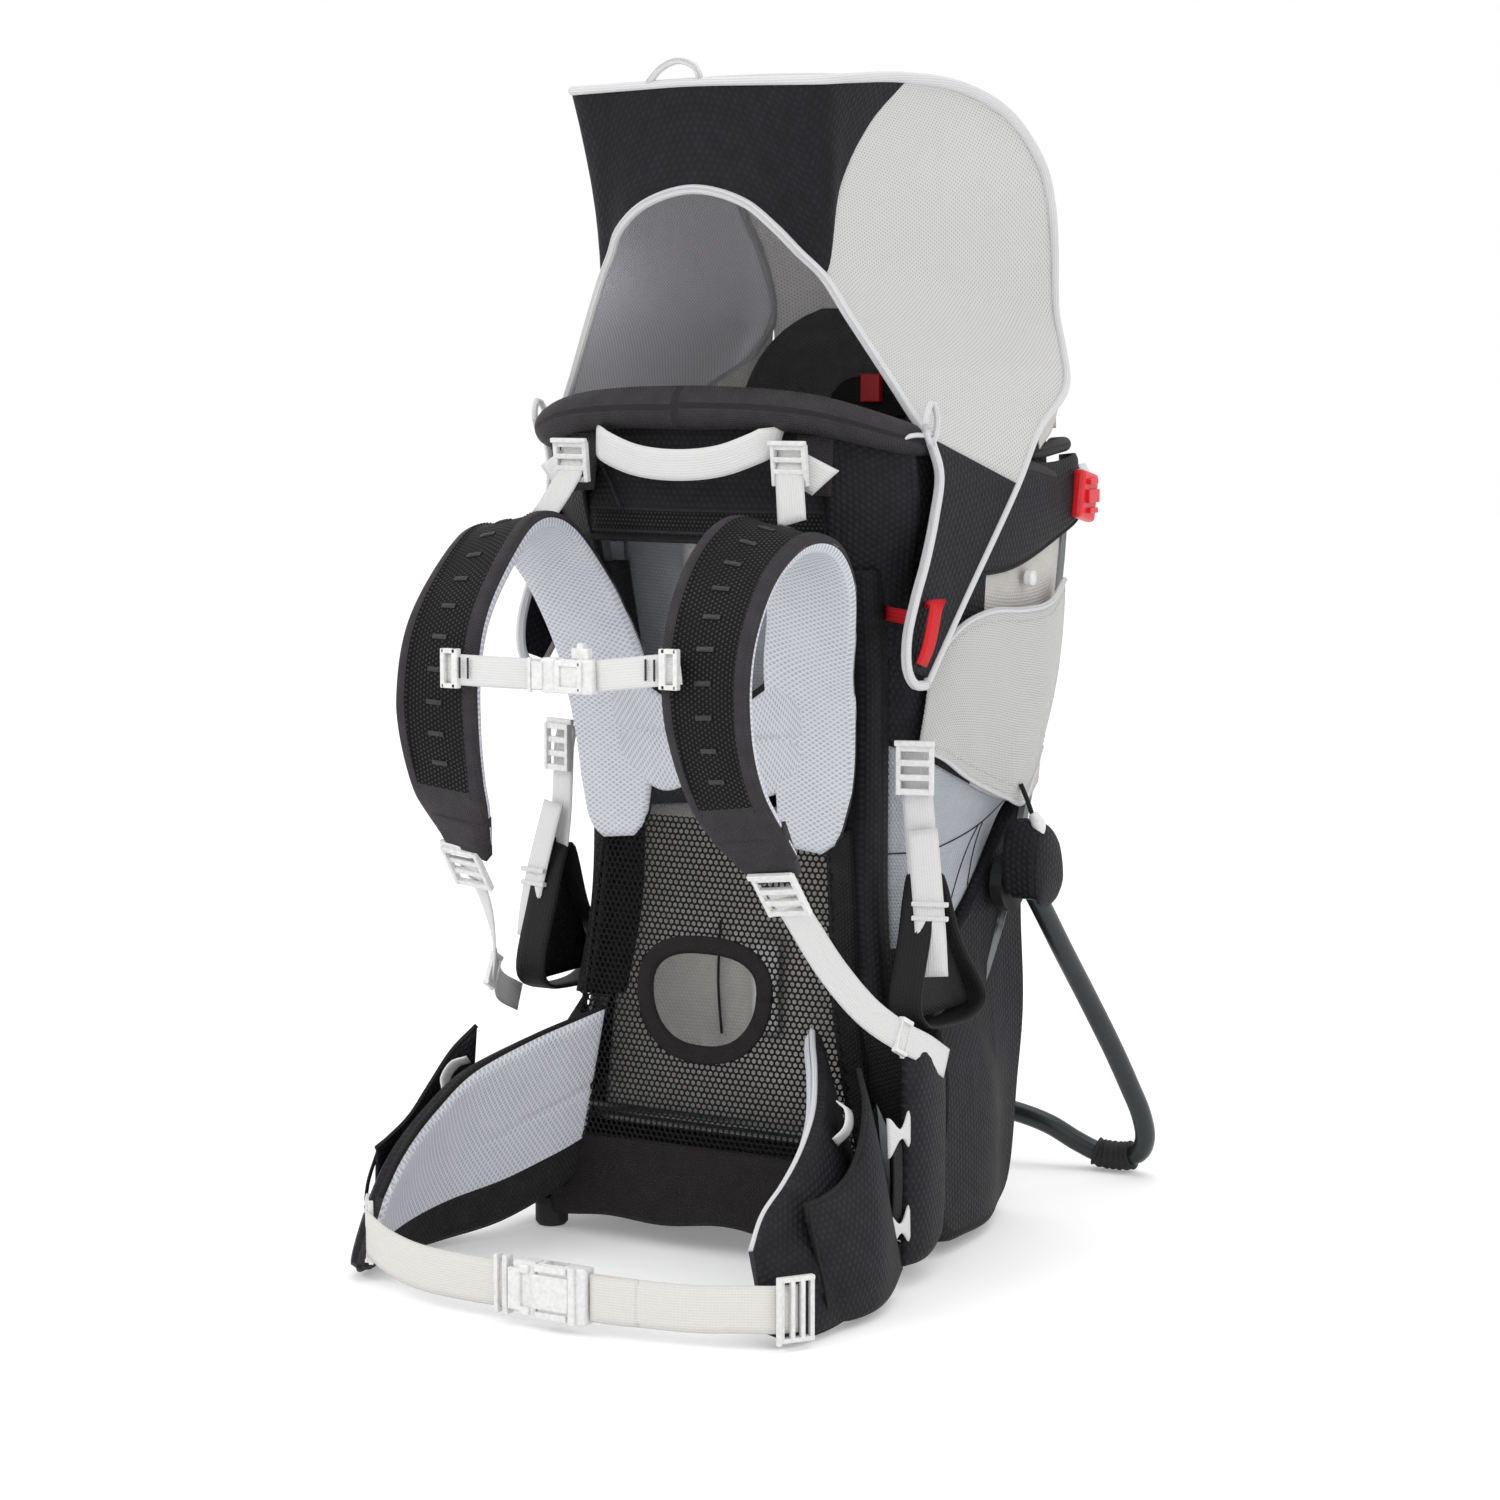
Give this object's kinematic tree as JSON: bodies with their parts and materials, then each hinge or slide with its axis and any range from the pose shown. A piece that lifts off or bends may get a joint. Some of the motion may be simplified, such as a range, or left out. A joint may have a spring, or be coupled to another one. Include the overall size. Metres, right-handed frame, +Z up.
{
  "type": "baby carrier backpack",
  "caption": "Framed child carrier backpack with padded harness and hip belt, cockpit with seat, sunshade and folding kickstand, standing upright.",
  "frame": {"origin": "centre of the bounding box at floor level, under the feet", "axes": "+X to the left of the wearer, -Y towards the side that the wearer carries, +Y towards the kickstand, +Z up"},
  "size_m": [0.4634, 0.7544, 1.0096],
  "materials": {
    "main_frame": "satin",
    "front_foot_l": "matte",
    "front_foot_r": "matte",
    "cockpit_ring": "satin",
    "rim_pad": "brushed knit over foam",
    "kickstand_hinge_l": "matte moulded",
    "kickstand_hinge_r": "matte moulded",
    "kickstand": "satin",
    "kickstand_foot_l": "matte",
    "kickstand_foot_r": "matte",
    "column_sleeve_l": "woven nylon",
    "column_sleeve_r": "woven nylon",
    "side_band_l": "woven nylon",
    "side_band_r": "woven nylon",
    "side_wall_l": "woven nylon",
    "side_wall_r": "woven nylon",
    "side_pocket_l": "stretch mesh",
    "side_pocket_r": "stretch mesh",
    "lower_bag": "woven nylon",
    "seat_pad": "woven nylon",
    "seat_back": "woven nylon",
    "cockpit_panel": "woven nylon",
    "front_panel": "woven nylon",
    "child_harness": "webbing with a moulded buckle",
    "side_buckle_l": "moulded",
    "side_buckle_r": "moulded",
    "back_mesh": "open hexagon mesh",
    "lumbar_band": "brushed",
    "yoke_pad": "spacer mesh",
    "shoulder_strap_l": "woven nylon",
    "shoulder_strap_r": "woven nylon",
    "strap_lock_l": "moulded",
    "strap_lock_r": "moulded",
    "strap_webbing_l": "woven webbing",
    "strap_webbing_r": "woven webbing",
    "lifter_l": "webbing with a moulded lock",
    "lifter_r": "webbing with a moulded lock",
    "carry_handle": "woven webbing",
    "hip_wing_l": "woven nylon",
    "hip_wing_r": "woven nylon",
    "hip_pocket_l": "woven nylon",
    "hip_pocket_r": "woven nylon",
    "hip_buckle_female": "moulded",
    "hip_buckle_male": "moulded",
    "sternum_female": "moulded",
    "sternum_male": "moulded",
    "belt_webbing_l": "woven webbing",
    "belt_webbing_r": "woven webbing",
    "sternum_webbing_l": "woven webbing",
    "sternum_webbing_r": "woven webbing",
    "stirrup_l": "woven nylon",
    "stirrup_r": "woven nylon",
    "shade_frame": "piping over wire",
    "shade_visor": "woven nylon",
    "shade_roof": "perforated mesh",
    "shade_side_l": "perforated mesh",
    "shade_side_r": "perforated mesh",
    "shade_pull_l": "woven webbing",
    "shade_pull_r": "woven webbing"
  },
  "bodies": {
    "carrier": {"main_frame": "main_frame", "front_foot_l": "front_foot_l", "front_foot_r": "front_foot_r", "cockpit_ring": "cockpit_ring", "rim_pad": "rim_pad", "kickstand_hinge_l": "kickstand_hinge_l", "kickstand_hinge_r": "kickstand_hinge_r", "column_sleeve_l": "column_sleeve_l", "column_sleeve_r": "column_sleeve_r", "side_band_l": "side_band_l", "side_band_r": "side_band_r", "side_wall_l": "side_wall_l", "side_wall_r": "side_wall_r", "side_pocket_l": "side_pocket_l", "side_pocket_r": "side_pocket_r", "lower_bag": "lower_bag", "seat_back": "seat_back", "cockpit_panel": "cockpit_panel", "front_panel": "front_panel", "child_harness": "child_harness", "side_buckle_l": "side_buckle_l", "side_buckle_r": "side_buckle_r", "back_mesh": "back_mesh", "lumbar_band": "lumbar_band", "yoke_pad": "yoke_pad", "shoulder_strap_l": "shoulder_strap_l", "shoulder_strap_r": "shoulder_strap_r", "strap_lock_l": "strap_lock_l", "strap_lock_r": "strap_lock_r", "strap_webbing_l": "strap_webbing_l", "strap_webbing_r": "strap_webbing_r", "lifter_l": "lifter_l", "lifter_r": "lifter_r", "hip_wing_l": "hip_wing_l", "hip_wing_r": "hip_wing_r", "hip_pocket_l": "hip_pocket_l", "hip_pocket_r": "hip_pocket_r", "hip_buckle_female": "hip_buckle_female", "sternum_female": "sternum_female", "belt_webbing_l": "belt_webbing_l", "belt_webbing_r": "belt_webbing_r", "sternum_webbing_l": "sternum_webbing_l", "sternum_webbing_r": "sternum_webbing_r"},
    "kickstand": {"kickstand": "kickstand", "kickstand_foot_l": "kickstand_foot_l", "kickstand_foot_r": "kickstand_foot_r"},
    "shade": {"shade_frame": "shade_frame", "shade_visor": "shade_visor", "shade_roof": "shade_roof", "shade_side_l": "shade_side_l", "shade_side_r": "shade_side_r", "shade_pull_l": "shade_pull_l", "shade_pull_r": "shade_pull_r"},
    "hip_clip": {"hip_buckle_male": "hip_buckle_male"},
    "sternum_clip": {"sternum_male": "sternum_male"},
    "seat": {"seat_pad": "seat_pad"},
    "handle": {"carry_handle": "carry_handle"},
    "stirrup_l": {"stirrup_l": "stirrup_l"},
    "stirrup_r": {"stirrup_r": "stirrup_r"}
  },
  "joints": [
    {"name": "kickstand_fold", "type": "hinge", "parent": "carrier", "child": "kickstand", "pos_m": [0, 0.1463, 0.302], "axis": [-1, 0, 0], "range_deg": [0, 24]},
    {"name": "shade_fold", "type": "hinge", "parent": "carrier", "child": "shade", "pos_m": [0, 0.2583, 0.72], "axis": [-1, 0, 0], "range_deg": [0, 70]},
    {"name": "hip_buckle_release", "type": "slide", "parent": "carrier", "child": "hip_clip", "axis": [-1, 0, 0], "range_m": [0, 0.036], "deforming": ["belt_webbing_r"]},
    {"name": "sternum_buckle_release", "type": "slide", "parent": "carrier", "child": "sternum_clip", "axis": [-1, 0, 0], "range_m": [0, 0.026], "deforming": ["sternum_webbing_r"]},
    {"name": "seat_height", "type": "slide", "parent": "carrier", "child": "seat", "axis": [0, 0, 1], "range_m": [0, 0.04]},
    {"name": "handle_swing", "type": "hinge", "parent": "carrier", "child": "handle", "pos_m": [0, -0.1297, 0.69], "axis": [-1, 0, 0], "range_deg": [0, 60]},
    {"name": "stirrup_swing_l", "type": "hinge", "parent": "carrier", "child": "stirrup_l", "pos_m": [0.178, -0.0397, 0.436], "axis": [1, 0, 0], "range_deg": [-5, 15]},
    {"name": "stirrup_swing_r", "type": "hinge", "parent": "carrier", "child": "stirrup_r", "pos_m": [-0.178, -0.0397, 0.436], "axis": [1, 0, 0], "range_deg": [-5, 15]}
  ]
}
